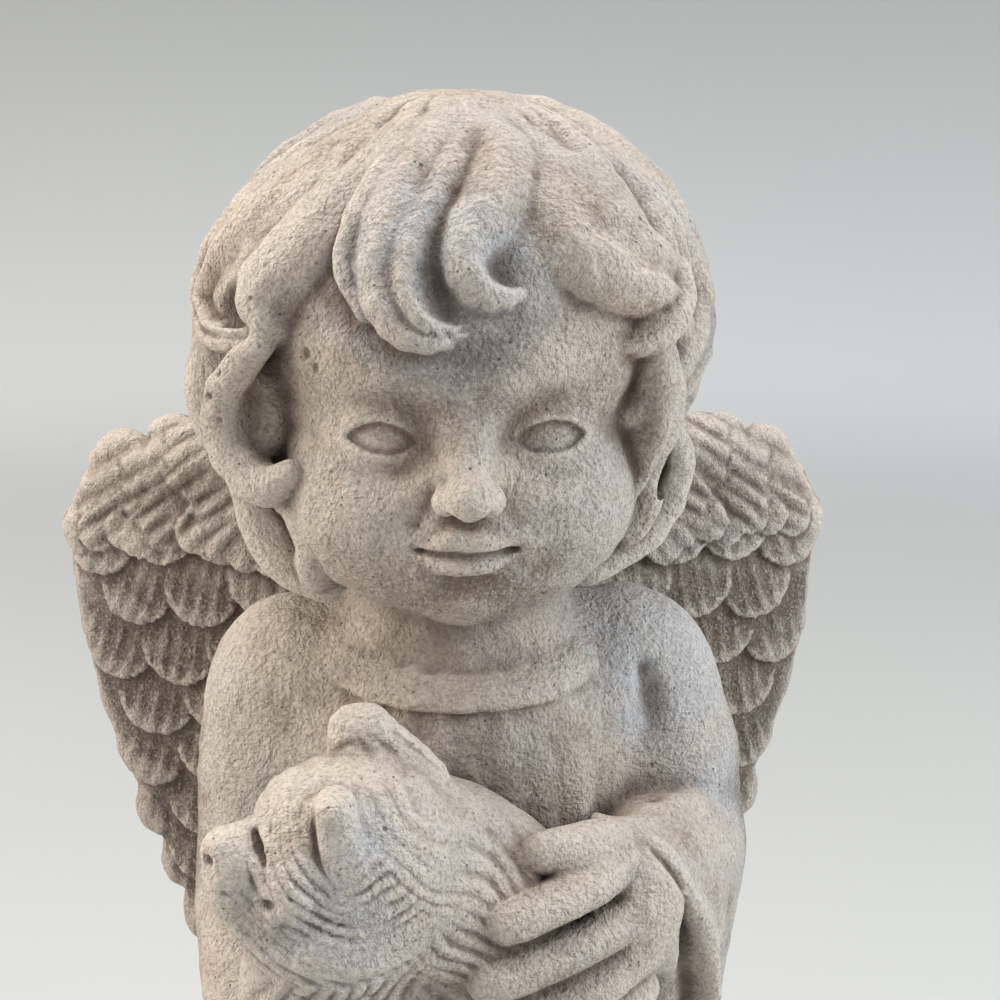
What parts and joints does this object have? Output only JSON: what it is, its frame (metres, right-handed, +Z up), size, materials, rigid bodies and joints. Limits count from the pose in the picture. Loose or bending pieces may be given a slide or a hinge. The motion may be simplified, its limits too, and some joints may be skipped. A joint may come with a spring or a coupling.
{
  "type": "stone putto statue",
  "caption": "Cast stone putto: a winged, curly-haired child in a long robe holding a small dog, standing on a low oval plinth.",
  "frame": {"origin": "middle of the plinth's flat underside", "axes": "+Z up from the underside to the crown of the head; the child faces -Y; +X is the child's left side"},
  "size_m": [0.1874, 0.1464, 0.3533],
  "materials": {
    "cast_stone": "matt weathered cast stone"
  },
  "bodies": {
    "root": {"putto_statue": "cast_stone"}
  },
  "joints": []
}
